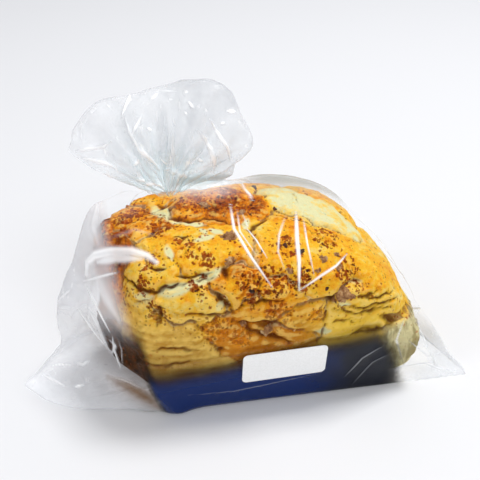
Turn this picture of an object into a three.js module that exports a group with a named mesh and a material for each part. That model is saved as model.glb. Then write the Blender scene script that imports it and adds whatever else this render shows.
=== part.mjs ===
// A loaf of bread standing in a clear film bag whose mouth is gathered into a neck and fans out above it.
// Millimetres, +Z up. The bag's broad front looks along -Y and the two corners of its bottom seal lie along X.
// The bag is one solid out to its film, because the film is shut round the loaf. The price sticker is a second solid.
import * as THREE from "three";

// The loaf that the film is drawn round: half sizes of its base and of its shoulder, where the sides turn into the crown
const BASE_HALF_WIDTH = 81;
const BASE_HALF_DEPTH = 54;
const SHOULDER_HALF_WIDTH = 101;
const SHOULDER_HALF_DEPTH = 66;
const SHOULDER_HEIGHT = 80;
const CROWN_HEIGHT = 127;
const BASE_ROUNDING = 1.5;
const BASE_POWER = 9; // of the superellipse that is the loaf seen from above
const SHOULDER_POWER = 3.8;
const CROWN_POWER_LEFT = 3.2; // the crown is square over the left end and round over the right
const CROWN_POWER_RIGHT = 2.1;
const LEFT_RISE = 0.06; // share that the left end stands taller by
const RIGHT_DROP = 0.39; // share of its height that the loaf loses towards its right end
const DROP_REACH = 105;
const DROP_POWER = 2.2;

// The film: its gap to the loaf, and the folded side edges as [height, x, y], from the seal's corner up to the shoulder
const FILM_GAP = 1.5;
const LEFT_EDGE = [
  [0, -182, -6],
  [10, -165, 4],
  [20, -150, 9],
  [36, -151, 11],
  [50, -149, 11],
  [62, -145, 11],
  [80, -137, 11],
];
const RIGHT_EDGE = [
  [0, 138, -59.5],
  [29, 126, -59],
  [56, 117, -57],
  [80, 107, -46],
];
const FLOOR_BULGE = 9; // the flaps' blunt corners swell this much on the floor, and draw in by the slack above it
const BULGE_POWER = 4;
const FLAP_SLACK = 0.8;
const SLACK_RISE = 30;
const TENT_HEIGHT = 132; // of the air-filled film over the left end, and the share of its way in that it takes to rise
const TENT_RUN = 0.27;

// The neck and the fan of loose film above it
const NECK = new THREE.Vector2(-65, 25);
const NECK_RADIUS = 10;
const NECK_PLEATS = 9;
const NECK_PLEAT_SHARE = 0.12;
const NECK_FOOT = 2; // its foot and its top above the crown
const NECK_TOP = 5;
const GATHER_REACH = 24;
const GATHER_FOLDS = 12;
const GATHER_FOLD_DEPTH = 2;
const FAN_TURN = THREE.MathUtils.degToRad(-12); // the fan's broad side is turned this far from the bag's
const FAN_LEAN = 0.25; // how far it leans back for its height
const FAN_SAG = 4; // how far its two side edges hang down
// The mouth's edge from right to left, as [across, up] from the neck's top, in the fan's own plane
const MOUTH = [
  [44, 10],
  [47, 21],
  [57, 30],
  [51, 46],
  [43, 65],
  [32, 71],
  [15, 70.5],
  [-30, 60],
  [-44, 57],
  [-58, 45],
  [-67, 26],
];
const FAN_THICKNESS = 34;
const MOUTH_THICKNESS = 8;
const FAN_PLEATS = 7;
const FAN_PLEAT_DEPTH = 5;

// The sticker on the front film
const STICKER = { width: 58, height: 27, thickness: 0.5, corner: 3.5 };
const STICKER_PLACE = { x: -2, z: 39 };
const STICKER_GAP = 0.7;

// How finely the film is divided: points round it, and rings up each stretch
const AROUND = 92;
const SIDE_RINGS = 13;
const CROWN_RINGS = 12;
const FAN_RINGS = 14;

const SAMPLES = 160;
const FILM = { color: 0xe4e8ea, roughness: 0.18, metalness: 0, transparent: true, opacity: 0.45 };
const PAPER = { color: 0xf4f4f2, roughness: 0.6, metalness: 0 };

const lerp = THREE.MathUtils.lerp;
const smoothstep = THREE.MathUtils.smoothstep;

// The loaf is designed at an even height, and then squeezed towards its right end by this factor.
function heightFactor(x) {
  if (x < 0) return 1 + LEFT_RISE * Math.min(1, (x / SHOULDER_HALF_WIDTH) ** 2);
  return 1 - RIGHT_DROP * Math.min(1.1, x / DROP_REACH) ** DROP_POWER;
}

// Half width and half depth of the loaf at a level from 0, its base, to 1, its shoulder
function halfSizes(level) {
  const swell = Math.sin((Math.PI / 2) * level);
  const inset = BASE_ROUNDING * (1 - smoothstep(level, 0, 0.06));
  return [
    lerp(BASE_HALF_WIDTH, SHOULDER_HALF_WIDTH, swell) - inset,
    lerp(BASE_HALF_DEPTH, SHOULDER_HALF_DEPTH, swell) - inset,
  ];
}

// The loaf seen from above at a level, grown by the film's gap
function loafSection(level) {
  const [a, b] = halfSizes(level).map((half) => half + FILM_GAP);
  const power = lerp(BASE_POWER, SHOULDER_POWER, level ** 0.5);
  return Array.from({ length: SAMPLES }, (_, i) => {
    const turn = (2 * Math.PI * i) / SAMPLES;
    const c = Math.cos(turn);
    const s = Math.sin(turn);
    const radius = (Math.abs(c) ** power + Math.abs(s) ** power) ** (-1 / power);
    return new THREE.Vector2(a * c * radius, b * s * radius);
  });
}

// Height of the film over the crown at a place seen from above
function crownHeight(x, y) {
  const [a, b] = halfSizes(1).map((half) => half + FILM_GAP);
  const sum = Math.abs(x / a) ** SHOULDER_POWER + Math.abs(y / b) ** SHOULDER_POWER;
  const rho = sum ** (1 / SHOULDER_POWER);
  const across = THREE.MathUtils.clamp((x + a) / (2 * a), 0, 1);
  const power = lerp(CROWN_POWER_LEFT, CROWN_POWER_RIGHT, across);
  const rise = (1 - Math.min(1, rho) ** power) ** (1 / power);
  return heightFactor(x) * lerp(SHOULDER_HEIGHT, CROWN_HEIGHT + FILM_GAP, rise);
}

// A point of a side edge given as [height, x, y] rows, at a height before squeezing
function edgeAt(rows, height) {
  const curve = new THREE.CatmullRomCurve3(rows.map(([z, x, y]) => new THREE.Vector3(x, y, z)));
  let low = 0;
  let high = 1;
  for (let step = 0; step < 30; step += 1) {
    const middle = (low + high) / 2;
    if (curve.getPoint(middle).z < height) low = middle;
    else high = middle;
  }
  const point = curve.getPoint((low + high) / 2);
  return new THREE.Vector2(point.x, point.y);
}

// The tight loop round a set of points, anticlockwise
function convexLoop(points) {
  const sorted = [...points].sort((p, q) => p.x - q.x || p.y - q.y);
  const half = (row) => {
    const chain = [];
    for (const p of row) {
      while (chain.length > 1) {
        const [o, q] = chain.slice(-2);
        if ((q.x - o.x) * (p.y - o.y) - (q.y - o.y) * (p.x - o.x) > 0) break;
        chain.pop();
      }
      chain.push(p);
    }
    return chain.slice(0, -1);
  };
  return [...half(sorted), ...half(sorted.reverse())];
}

// Evenly spaced points along an open line, both ends included
function spaced(line, count) {
  const path = new THREE.CurvePath();
  for (let i = 1; i < line.length; i += 1) path.add(new THREE.LineCurve(line[i - 1], line[i]));
  return Array.from({ length: count + 1 }, (_, i) => path.getPoint(i / count));
}

// One ring of film round the loaf at a level: from the right edge along the front to the left edge, and back behind.
function sideRing(level) {
  const height = level * SHOULDER_HEIGHT;
  const left = edgeAt(LEFT_EDGE, height);
  const right = edgeAt(RIGHT_EDGE, height);
  const loop = convexLoop([...loafSection(level), left, right]);
  const l = loop.indexOf(left);
  const r = loop.indexOf(right);
  const back = [...loop.slice(r), ...loop.slice(0, l + 1)];
  const front = loop.slice(l, r + 1).reverse();
  const [a] = halfSizes(level);
  const rise = smoothstep(height, 0, SLACK_RISE);
  const drawIn = (p) => {
    const tip = p.x < 0 ? left : right;
    const share = THREE.MathUtils.clamp((Math.abs(p.x) - a) / (Math.abs(tip.x) - a), 0, 1);
    const slack = lerp(-FLOOR_BULGE * share ** BULGE_POWER, FLAP_SLACK * share, rise);
    const y = tip.y + (p.y - tip.y) * (1 - slack * (1 - share));
    return new THREE.Vector3(p.x, y, height * heightFactor(p.x));
  };
  const half = AROUND / 2;
  return [...spaced(front, half), ...spaced(back.reverse(), half).slice(1, -1)].map(drawIn);
}

// Turn of ring point i about the neck, which runs with the side rings: right, front, left, back
const turnOf = (i) => (-2 * Math.PI * i) / AROUND;

function neckPoint(i, rise) {
  const turn = turnOf(i);
  const radius = NECK_RADIUS * (1 + NECK_PLEAT_SHARE * Math.cos(NECK_PLEATS * turn));
  const place = new THREE.Vector2(radius, 0).rotateAround(new THREE.Vector2(), turn).add(NECK);
  return new THREE.Vector3(place.x, place.y, crownHeight(place.x, place.y) + rise);
}

// Film over the crown, from the shoulder ring in to the foot of the neck. At the left it stands off the loaf as a tent.
function crownRing(shoulder, share) {
  const angle = (Math.PI / 2) * share;
  const inward = 1 - Math.cos(angle) ** 0.75;
  const upward = (1 + (TENT_RUN / inward) ** 6) ** (-1 / 6);
  return shoulder.map((edge, i) => {
    const foot = neckPoint(i, NECK_FOOT);
    const p = edge.clone().lerp(foot, inward);
    const gather = Math.exp(-((Math.hypot(p.x - foot.x, p.y - foot.y) / GATHER_REACH) ** 2));
    const fold = GATHER_FOLD_DEPTH * gather * (0.5 + 0.5 * Math.cos(GATHER_FOLDS * turnOf(i)));
    const hugging = crownHeight(p.x, p.y) + gather ** 2 * NECK_FOOT + fold * (1 - share ** 4);
    const tent = lerp(edge.z, TENT_HEIGHT, upward) - (TENT_HEIGHT - foot.z) * share ** 6;
    const loose = 1 - smoothstep(edge.x, -112, -84);
    p.z = Math.max(hugging, lerp(hugging, tent, loose));
    return p;
  });
}

// The mouth's edge in space, for a share from 0 at its right end to 1 at its left end
const mouthCurve = new THREE.CatmullRomCurve3(MOUTH.map(([across, up]) => new THREE.Vector3(across, 0, up)));

// One ring of the fan, from the neck at share 0 to the mouth at share 1. The front and back film fold side by side.
function fanRing(share) {
  const half = AROUND / 2;
  const root = new THREE.Vector3(NECK.x, NECK.y, crownHeight(NECK.x, NECK.y) + NECK_TOP);
  const middle = Math.sin(Math.PI * share);
  return Array.from({ length: AROUND }, (_, i) => {
    const along = i <= half ? i / half : (AROUND - i) / half;
    const side = i % half === 0 ? 0 : i < half ? -1 : 1;
    const mouth = mouthCurve.getPointAt(along);
    const open = Math.sin(Math.PI * along) ** 0.6;
    const puff = (side * (FAN_THICKNESS * middle + MOUTH_THICKNESS * share)) / 2;
    const pleat = FAN_PLEAT_DEPTH * middle * Math.sin(2 * Math.PI * FAN_PLEATS * along);
    const spread = new THREE.Vector3(mouth.x, open * (puff + pleat) + FAN_LEAN * mouth.z * share, mouth.z);
    spread.applyAxisAngle(new THREE.Vector3(0, 0, 1), FAN_TURN);
    spread.z -= FAN_SAG * middle * Math.abs(2 * along - 1) ** 6;
    return neckPoint(i, NECK_TOP).lerp(root.clone().add(spread), 1 - (1 - share) ** 1.3);
  });
}

function bagRings() {
  const rings = [];
  for (let j = 0; j <= SIDE_RINGS; j += 1) rings.push(sideRing((j / SIDE_RINGS) ** 1.15));
  const shoulder = rings.at(-1);
  for (let j = 1; j <= CROWN_RINGS; j += 1) rings.push(crownRing(shoulder, j / CROWN_RINGS));
  for (let j = 0; j <= FAN_RINGS; j += 1) rings.push(fanRing(j / FAN_RINGS));
  return rings;
}

// Rings joined into one closed surface, flat underneath and shut across the mouth
function bagGeometry() {
  const rings = bagRings();
  const points = rings.flat();
  const index = [];
  const at = (j, i) => j * AROUND + (i % AROUND);
  for (let j = 0; j < rings.length - 1; j += 1) {
    for (let i = 0; i < AROUND; i += 1) {
      index.push(at(j, i), at(j + 1, i), at(j, i + 1));
      index.push(at(j, i + 1), at(j + 1, i), at(j + 1, i + 1));
    }
  }
  const middle = points.push(new THREE.Vector3(0, 0, 0)) - 1;
  for (let i = 0; i < AROUND; i += 1) index.push(at(0, i + 1), middle, at(0, i));
  const last = rings.length - 1;
  const half = AROUND / 2;
  for (let i = 0; i < half; i += 1) {
    const [f0, f1] = [at(last, i), at(last, i + 1)];
    const [b0, b1] = [at(last, AROUND - i), at(last, AROUND - i - 1)];
    if (i > 0) index.push(f0, b0, f1);
    if (i < half - 1) index.push(f1, b0, b1);
  }
  const geometry = new THREE.BufferGeometry().setFromPoints(points);
  geometry.setIndex(index);
  geometry.computeVertexNormals();
  return geometry;
}

// Depth of the front film at a place on it, read off the ring at that height
function frontFilm(x, z) {
  const ring = sideRing(z / (SHOULDER_HEIGHT * heightFactor(x)));
  const next = ring.findIndex((p) => p.x < x);
  const [p, q] = [ring[next - 1], ring[next]];
  return lerp(p.y, q.y, (x - p.x) / (q.x - p.x));
}

function stickerGeometry() {
  const { width, height, thickness, corner } = STICKER;
  const [w, h] = [width / 2, height / 2];
  const outline = new THREE.Shape()
    .moveTo(corner - w, -h)
    .lineTo(w - corner, -h)
    .absarc(w - corner, corner - h, corner, -Math.PI / 2, 0)
    .lineTo(w, h - corner)
    .absarc(w - corner, h - corner, corner, 0, Math.PI / 2)
    .lineTo(corner - w, h)
    .absarc(corner - w, h - corner, corner, Math.PI / 2, Math.PI)
    .lineTo(-w, corner - h)
    .absarc(corner - w, corner - h, corner, Math.PI, 1.5 * Math.PI);
  return new THREE.ExtrudeGeometry(outline, { depth: thickness, bevelEnabled: false, curveSegments: 6 });
}

const bag = new THREE.Mesh(bagGeometry(), new THREE.MeshStandardMaterial(FILM));
bag.name = "bag";

const sticker = new THREE.Mesh(stickerGeometry(), new THREE.MeshStandardMaterial(PAPER));
sticker.name = "price_sticker";
const top = frontFilm(STICKER_PLACE.x, STICKER_PLACE.z + STICKER.height / 2);
const foot = frontFilm(STICKER_PLACE.x, STICKER_PLACE.z - STICKER.height / 2);
sticker.rotation.x = Math.PI / 2 - Math.atan((top - foot) / STICKER.height);
sticker.position.set(STICKER_PLACE.x, (top + foot) / 2 - STICKER_GAP, STICKER_PLACE.z);

// The origin is under the middle of the bag's own box.
const loafInBag = new THREE.Group();
loafInBag.add(bag, sticker);
const box = new THREE.Box3().setFromObject(loafInBag);
const middle = box.getCenter(new THREE.Vector3());
for (const piece of [bag, sticker]) {
  piece.position.x -= middle.x;
  piece.position.y -= middle.y;
}

export default loafInBag;
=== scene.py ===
"""A pull-apart loaf, toasted on top and pale in its seams, in a clear film bag with a blue band
and a blank sticker.

Lengths are in millimetres until a mesh is finished, and metres after that. The bag's front looks along -Y.
"""
import math

import bpy
import numpy as np
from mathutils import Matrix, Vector, noise
from mathutils.bvhtree import BVHTree


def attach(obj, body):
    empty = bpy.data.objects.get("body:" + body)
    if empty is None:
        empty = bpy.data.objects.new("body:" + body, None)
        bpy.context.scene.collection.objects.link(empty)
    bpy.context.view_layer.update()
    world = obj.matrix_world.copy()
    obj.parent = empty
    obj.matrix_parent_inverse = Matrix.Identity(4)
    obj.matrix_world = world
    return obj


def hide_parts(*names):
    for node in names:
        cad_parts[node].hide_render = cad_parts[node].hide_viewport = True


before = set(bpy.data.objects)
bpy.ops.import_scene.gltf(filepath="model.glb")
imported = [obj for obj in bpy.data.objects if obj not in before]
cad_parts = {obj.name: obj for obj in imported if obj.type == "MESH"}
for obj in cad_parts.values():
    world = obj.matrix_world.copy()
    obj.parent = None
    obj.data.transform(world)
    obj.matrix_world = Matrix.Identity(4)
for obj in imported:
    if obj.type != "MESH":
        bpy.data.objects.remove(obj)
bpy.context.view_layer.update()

MM = 0.001

# The camera stands in front of the loaf, a little to its left, and looks down on it.
CAMERA_YAW = math.radians(11.9)
CAMERA_PITCH = math.radians(32.0)
CAMERA_DISTANCE = 620.0
CAMERA_AIM = Vector((6.1, 15.9, 89.7))
PHOTO_SIDE = 480
FOCAL_PIXELS = 867.6
PATH_STEP = 3.0  # pixels between the points of a path drawn over the frame
LAID_STEP = 6.0  # mm between the points of a path laid on a surface
LINE_REACH = 16.0  # how far, in mm, such a line acts

# The loaf inside the film
LOAF_MIDDLE = 22.0  # its middle along X
BASE_HALF = (79.0, 53.0)
SHOULDER_HALF = (100.0, 65.0)
SHOULDER_HEIGHT = 80.0
CROWN_HEIGHT = 126.5
BASE_POWER = 9.0
SHOULDER_POWER = 3.8
CROWN_POWERS = (3.2, 2.1)  # over the left end and over the right
LEFT_RISE = 0.06
RIGHT_DROP = 0.39
DROP_REACH = 105.0
DROP_POWER = 2.2
LEFT_LOBE = 9.0  # how far its left end bulges out
LEFT_TOP = 13.0  # how much further out the top of that end is
LEFT_FOOT = 13.0  # and the part below it
LEFT_END_MIDDLE = 14.0  # where along Y that end bulges most
LEFT_END_HALF = 50.0
CROWN_LIFT = 4.0  # how much closer under the film its top is, right of the neck
LEFT_LEAN = 9.0  # how far its front left edge leans out, with the film on it
BACK_DROP = 1.5  # how much lower its right half is behind
RIGHT_FOOT = (104.0, -53.0)  # its front right foot, which sticks out under the crust
FOOT_PUSH = (11.0, -6.0)
FOOT_REACH = 20.0
CUBE_CUTS = 47  # of the edges of the cube that its body starts from
CRUMB_VOXEL = 1.3
FLOOR_GAP = 0.4  # how far its base is off the floor, for the film under it
BODY_SPIKE = 0.7  # the most that a point of its body may stand out from its neighbours
CRUST_SPIKE = 1.7  # and a point of its crust
FILM_CLEARANCE = 1.2
NECK = np.array([-43.0, 25.0, 131.0])  # where the film is gathered
NECK_CLEAR = 30.0
FRONT_CORNER = (-54.0, -50.0)  # where the film turns round the loaf at its front left foot
CORNER_PULL = (0.0, -7.0)
CORNER_REACH = 11.0
WING_FORWARD = 9.0  # how far the flap at the left end lies forward on the floor
BRIDGE = (-14.0, 22.0)  # where the film stands up off the loaf, right of the neck
BRIDGE_REACH = (22.0, 14.0)
BRIDGE_LIFT = 9.0
BALL_LIFT = 4.5  # how much higher the loaf is under it

# The dough balls that the loaf is pulled apart into. Those seen are placed along the lines of sight through
# these pixels of the 480 x 480 frame: (centres, radius in mm, browning from 0 to 1)
SEEN_DOUGH = {
    "brown_top": ([(190, 202), (215, 199), (243, 201), (196, 193), (225, 191)], 19, 0.74),
    "left_top": ([(124, 215), (142, 222)], 17, 0.63),
    "cream_top": ([(280, 191), (300, 198), (320, 205), (336, 212), (346, 222)], 17, 0.08),
    "golden_right": ([(284, 236), (335, 258), (374, 262), (298, 266)], 26, 0.44),
    "middle": ([(163, 240), (195, 250), (232, 244)], 21, 0.42),
    "left_low": ([(134, 268), (160, 278)], 15, 0.36),
    "yellow": ([(178, 302), (204, 302)], 17, 0.38),
    "front_middle": ([(238, 284), (285, 298)], 19, 0.56),
    "front_small": ([(258, 314), (298, 324)], 15, 0.52),
    "right_low": ([(362, 304), (390, 300)], 17, 0.4),
    "right_foot": ([(345, 328), (385, 332)], 15, 0.3),
    "low_orange": ([(230, 336), (250, 342), (290, 338)], 13, 0.58),
    "front_foot": ([(146, 345), (182, 356)], 20, 0.3),
}
# The others, round the back and the ends: centres in mm from the loaf's middle
HIDDEN_DOUGH = {
    "back_left": ([(-62, 42, 112)], 24, 0.62),
    "back_middle": ([(-8, 52, 112)], 26, 0.5),
    "back_right": ([(50, 46, 98)], 26, 0.45),
    "right_end": ([(92, 18, 50)], 26, 0.35),
    "back_foot_left": ([(-60, 64, 50)], 30, 0.3),
    "back_foot_right": ([(30, 64, 45)], 32, 0.3),
    "left_end_low": ([(-92, -5, 45)], 34, 0.55),
    "left_end_top": ([(-104, 6, 100)], 30, 0.84),
}
BALL_WANDER = 6.0  # how far the edges between the balls wander, in mm
BROWNING_BLEND = 0.12  # how far a ball's browning reaches into the next, in its radius
SEAM_WIDTH = 0.21  # of a seam that dips, in the ball's radius
SEAM_COLOUR_WIDTH = 0.16  # and of its paler colour

# How deep, in mm, the crust's relief is
LEAST_SINK = 0.3
SEAM_DEPTH = 3.0
PILLOW = 1.5
LUMP_DEPTH = 0.6
CRAG_DEPTH = 2.8
WRINKLE_DEPTH = 1.15

TEAR_WANDER = 2.0  # how far the edges of a tear wander, in mm
TEAR_REACH = 1.35  # its colour's half width, in the width that is given
# Pale dough torn open between the balls, along pixels of the frame: (pixels, half width in mm)
PALE_TEARS = [
    ([(154, 202), (163, 210), (166, 216)], 4.2),
    ([(168, 218), (188, 220), (206, 220)], 2.6),
    ([(210, 227), (222, 231)], 2.6),
    ([(194, 238), (214, 234)], 2.4),
    ([(168, 244), (170, 258)], 2.2),
    ([(206, 232), (200, 226)], 2.0),
    ([(190, 284), (206, 277), (222, 267)], 3.0),
    ([(158, 295), (170, 291), (190, 287)], 3.6),
    ([(132, 297), (148, 299)], 3.0),
    ([(218, 312), (223, 305)], 1.8),
    ([(340, 306), (350, 308)], 2.4),
    ([(248, 216), (244, 224)], 2.2),
    ([(316, 334), (330, 332)], 2.6),
]

CREASE_WANDER = 1.6  # how far a crease wanders, in mm
CREASE_SHADE = 1.5  # the half width of its dark line, in the width that is given
CREASE_DIP = (2.2, 1.2)  # the half width and the depth of its dip, in those that are given
# Deep creases in the crust, darkened with browner crust and painted shade: (pixels, half width in mm, depth
# in mm)
DARK_CREASES = [
    ([(158, 199), (164, 202), (170, 199)], 1.6, 3.5),
    ([(168, 206), (172, 213), (190, 217), (206, 214), (224, 216), (236, 222)], 0.9, 2.4),
    ([(250, 226), (258, 220), (266, 214)], 1.2, 2.0),
    ([(260, 210), (272, 212), (290, 213), (311, 219), (330, 222), (348, 231)], 0.8, 2.0),
    ([(148, 267), (156, 269), (167, 267)], 1.1, 2.2),
    ([(171, 234), (184, 235), (192, 233)], 0.9, 1.4),
    ([(118, 276), (130, 284), (138, 292), (156, 294), (163, 288), (178, 287), (190, 283)], 1.2, 3.0),
    ([(176, 276), (192, 276), (214, 272)], 0.9, 2.0),
    ([(225, 264), (226, 274), (230, 280)], 1.8, 2.5),
    ([(215, 295), (223, 304), (234, 314)], 1.5, 2.8),
    ([(160, 305), (158, 318), (156, 330)], 1.3, 1.6),
    ([(188, 317), (214, 318), (236, 317)], 0.8, 1.8),
    ([(238, 312), (246, 307), (262, 305), (284, 303)], 0.9, 1.6),
    ([(234, 325), (245, 327), (252, 334), (268, 339), (290, 345)], 1.6, 3.6),
    ([(256, 327), (268, 330), (280, 328)], 2.2, 3.4),
    ([(330, 302), (338, 305)], 1.8, 3.4),
    ([(334, 313), (360, 316), (378, 312), (394, 308)], 0.9, 2.2),
    ([(330, 325), (342, 322), (356, 324)], 0.8, 1.4),
    ([(356, 298), (368, 298), (380, 291)], 0.8, 1.6),
    ([(384, 318), (392, 321), (400, 319)], 1.4, 2.8),
    ([(346, 308), (366, 311), (386, 305), (401, 298)], 1.0, 2.2),
    ([(362, 299), (380, 299), (396, 290)], 0.9, 1.8),
    ([(352, 336), (368, 334), (386, 330), (402, 320)], 1.4, 2.8),
    ([(142, 366), (166, 368), (190, 364)], 1.0, 1.0),
    ([(150, 352), (178, 350), (204, 352)], 0.9, 0.9),
    ([(214, 352), (226, 352)], 1.0, 1.4),
]

FLECKED_FULL, FLECKED_END = 0.35, 1.25  # where, in the radius, the flecking starts to thin and ends
# Where the cheese topping is flecked dark: (pixel of the frame, radius in mm)
FLECKED = [
    ((190, 200), 13),
    ((226, 196), 15),
    ((246, 206), 11),
    ((130, 214), 16),
    ((160, 224), 13),
    ((186, 246), 12),
    ((150, 258), 10),
    ((200, 284), 9),
    ((288, 244), 11),
    ((264, 286), 19),
    ((300, 282), 13),
    ((278, 318), 12),
    ((214, 334), 13),
    ((154, 316), 11),
    ((240, 340), 10),
    ((352, 272), 12),
    ((326, 236), 13),
    ((250, 298), 10),
    ((206, 260), 9),
    ((318, 318), 8),
    ((362, 284), 7),
    ((120, 230), 9),
    ((140, 288), 9),
]

# Walnut pieces and dark dried fruit baked into the crust: (pixel of the frame, length in mm)
WALNUTS = [
    ((228, 237), 13),
    ((231, 262), 10),
    ((343, 293), 15),
    ((334, 301), 7),
    ((243, 322), 9),
    ((268, 329), 10),
    ((324, 259), 8),
    ((338, 268), 7),
    ((205, 205), 10),
    ((337, 254), 5),
    ((173, 208), 7),
    ((242, 213), 8),
    ((318, 271), 5),
    ((290, 271), 6),
]
DARK_FRUIT = [
    ((301, 251), 7),
    ((254, 187), 6),
    ((275, 209), 4),
    ((262, 251), 2.5),
    ((327, 289), 3.5),
    ((307, 271), 4),
    ((252, 291), 4),
    ((286, 246), 4.5),
    ((321, 279), 2.5),
    ((196, 291), 2),
]

# Helpers


def smoothstep(low, high, x):
    t = np.clip((x - low) / (high - low), 0.0, 1.0)
    return t * t * (3 - 2 * t)


def lerp(a, b, t):
    return a + (b - a) * t


def select_only(obj):
    for other in bpy.context.selected_objects:
        other.select_set(False)
    obj.select_set(True)
    bpy.context.view_layer.objects.active = obj


def points_of(obj):
    co = np.empty(len(obj.data.vertices) * 3)
    obj.data.vertices.foreach_get("co", co)
    return co.reshape(-1, 3)


def normals_of(obj):
    no = np.empty(len(obj.data.vertices) * 3)
    obj.data.vertex_normals.foreach_get("vector", no)
    return no.reshape(-1, 3)


def set_points(obj, co):
    obj.data.vertices.foreach_set("co", np.ascontiguousarray(co, float).ravel())
    obj.data.update()


def edges_of(obj):
    e = np.empty(len(obj.data.edges) * 2, int)
    obj.data.edges.foreach_get("vertices", e)
    return e.reshape(-1, 2)


def neighbour_mean(values, edges, rounds):
    """Values at the vertices, each averaged with its neighbours that many times."""
    count = np.bincount(edges.ravel(), minlength=len(values)).astype(float)[:, None]
    out = values.reshape(len(values), -1).copy()
    for _ in range(rounds):
        total = np.zeros_like(out)
        for axis in range(out.shape[1]):
            total[:, axis] = np.bincount(edges[:, 0], out[edges[:, 1], axis], len(out))
            total[:, axis] += np.bincount(edges[:, 1], out[edges[:, 0], axis], len(out))
        out = 0.5 * out + 0.5 * total / np.maximum(count, 1)
    return out.reshape(values.shape)


def noise_at(co, size, seed=0.0, stretch=(1, 1, 1)):
    """Smooth noise from -1 to 1 at each point, for features of that size in mm."""
    scaled = co / (size * np.array(stretch)) + seed
    return np.array([noise.noise(Vector(p)) for p in scaled])


def store(obj, name, values):
    obj.data.attributes.new(name, "FLOAT", "POINT").data.foreach_set("value", np.asarray(values, np.float32))


def apply_modifier(obj, kind, **settings):
    select_only(obj)
    modifier = obj.modifiers.new(kind.title(), kind)
    for name, value in settings.items():
        setattr(modifier, name, value)
    bpy.ops.object.modifier_apply(modifier=modifier.name)


def surface_of(obj):
    """The piece's surface as it is now, for finding points on it."""
    return BVHTree.FromPolygons([Vector(p) for p in points_of(obj)], [f.vertices for f in obj.data.polygons])


def to_metres(obj):
    """Ends the work in mm: the piece's object stays at the origin, and its mesh goes to metres."""
    set_points(obj, points_of(obj) * MM)
    select_only(obj)
    bpy.ops.object.shade_smooth()


# Camera

back = Vector(
    (
        -math.sin(CAMERA_YAW) * math.cos(CAMERA_PITCH),
        -math.cos(CAMERA_YAW) * math.cos(CAMERA_PITCH),
        math.sin(CAMERA_PITCH),
    )
)
right = Vector((math.cos(CAMERA_YAW), -math.sin(CAMERA_YAW), 0.0))
up = back.cross(right)
eye = CAMERA_AIM + back * CAMERA_DISTANCE

camera_data = bpy.data.cameras.new("camera")
camera = bpy.data.objects.new("camera", camera_data)
bpy.context.collection.objects.link(camera)
camera.location = eye * MM
camera.rotation_euler = back.to_track_quat("Z", "Y").to_euler()
camera_data.lens = camera_data.sensor_width * FOCAL_PIXELS / PHOTO_SIDE
camera_data.clip_start = 0.01
bpy.context.scene.camera = camera


def sight(pixel):
    """The direction in which a pixel of the frame is seen."""
    half = PHOTO_SIDE / 2
    ray = right * (pixel[0] - half) - up * (pixel[1] - half) - back * FOCAL_PIXELS
    return ray.normalized()


def pixel_of(co):
    """The pixel of the frame that shows each point."""
    ray = co - np.array(eye)
    across, upwards, depth = ray @ np.array(right), ray @ np.array(up), -ray @ np.array(back)
    return PHOTO_SIDE / 2 + FOCAL_PIXELS * np.column_stack([across, -upwards]) / depth[:, None]


def seen_on(tree, pixel):
    """The point of a surface, in mm, that the pixel shows."""
    return np.array(tree.ray_cast(eye, sight(pixel))[0])


# Loaf: body


def height_factor(x):
    """The loaf's height at a place along X, in mm from its middle, as a share of its design."""
    left = 1 + LEFT_RISE * np.minimum(1, (x / SHOULDER_HALF[0]) ** 2)
    right_end = 1 - RIGHT_DROP * np.minimum(1.1, np.maximum(x, 0) / DROP_REACH) ** DROP_POWER
    return np.where(x < 0, left, right_end)


def cube_to_loaf(c):
    """Takes points of a cube from -1 to 1 to the loaf's body: sides, crown and flat base."""
    reach = np.maximum(np.abs(c[:, 0]), np.abs(c[:, 1]))
    corner = c[:, :2] / np.maximum(reach, 1e-6)[:, None]
    level = (c[:, 2] + 1) / 2
    power = lerp(BASE_POWER, SHOULDER_POWER, np.sqrt(level))[:, None]
    swell = np.sin(np.pi / 2 * level)[:, None]
    half = lerp(np.array(BASE_HALF), np.array(SHOULDER_HALF), swell)
    rim = half * corner * (np.abs(corner) ** power).sum(1, keepdims=True) ** (-1 / power)
    rho = np.sin(np.pi / 2 * reach)
    plan = rim * rho[:, None]
    across = np.clip((plan[:, 0] / SHOULDER_HALF[0] + 1) / 2, 0, 1)
    dome_power = lerp(CROWN_POWERS[0], CROWN_POWERS[1], across)
    rise = (1 - np.minimum(rho, 1) ** dome_power) ** (1 / dome_power)
    on_top = c[:, 2] > 0.9999
    z = np.where(on_top, lerp(SHOULDER_HEIGHT, CROWN_HEIGHT, rise), level * SHOULDER_HEIGHT)
    return np.column_stack([plan, z * height_factor(plan[:, 0])])


bpy.ops.mesh.primitive_cube_add(size=2)
loaf = bpy.context.object
loaf.name = loaf.data.name = "loaf"
select_only(loaf)
bpy.ops.object.mode_set(mode="EDIT")
bpy.ops.mesh.select_all(action="SELECT")
bpy.ops.mesh.subdivide(number_cuts=CUBE_CUTS)
bpy.ops.object.mode_set(mode="OBJECT")
set_points(loaf, cube_to_loaf(points_of(loaf)) + [LOAF_MIDDLE, 0, FLOOR_GAP])
apply_modifier(loaf, "REMESH", mode="VOXEL", voxel_size=CRUMB_VOXEL)

# Loaf: dough balls and crust


def spaced(points, step):
    """The same path with a point at every step, so that it follows a curved surface."""
    path = [np.array(points[0], float)]
    for point in np.array(points[1:], float):
        start = path[-1]
        count = max(1, round(float(np.linalg.norm(point - start)) / step))
        path += [lerp(start, point, (i + 1) / count) for i in range(count)]
    return path


def seen_line(tree, pixels):
    """The line on a surface that is seen along a path of pixels."""
    seen = [tree.ray_cast(eye, sight(pixel))[0] for pixel in spaced(pixels, PATH_STEP)]
    return np.array([point for point in seen if point is not None])


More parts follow.
